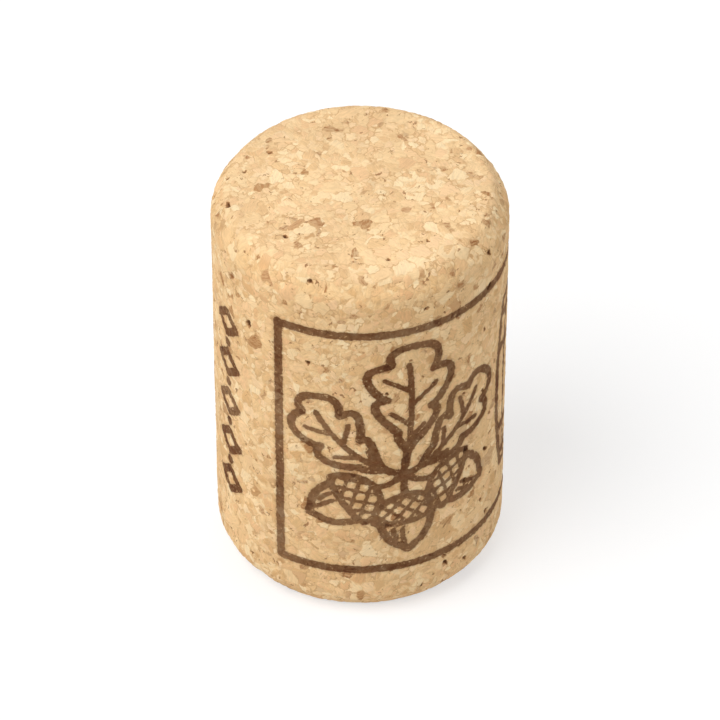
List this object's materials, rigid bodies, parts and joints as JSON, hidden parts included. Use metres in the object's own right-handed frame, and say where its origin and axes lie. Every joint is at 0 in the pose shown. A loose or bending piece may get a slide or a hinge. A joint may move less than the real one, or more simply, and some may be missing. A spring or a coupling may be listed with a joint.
{
  "type": "wine cork",
  "caption": "Straight cylindrical bottle stopper in fine cork granulate, with softly bevelled rims and a ruled, printed ornament round its wall.",
  "frame": {"origin": "centre of the lower end face, on the stopper's axis", "axes": "+Z along the axis, from the lower end face to the upper one; -Y faces the printed side, and the form is round, so X and Y are otherwise free"},
  "size_m": [0.024, 0.024, 0.036],
  "materials": {
    "cork": "matte"
  },
  "bodies": {
    "root": {"cork": "cork"}
  },
  "joints": []
}
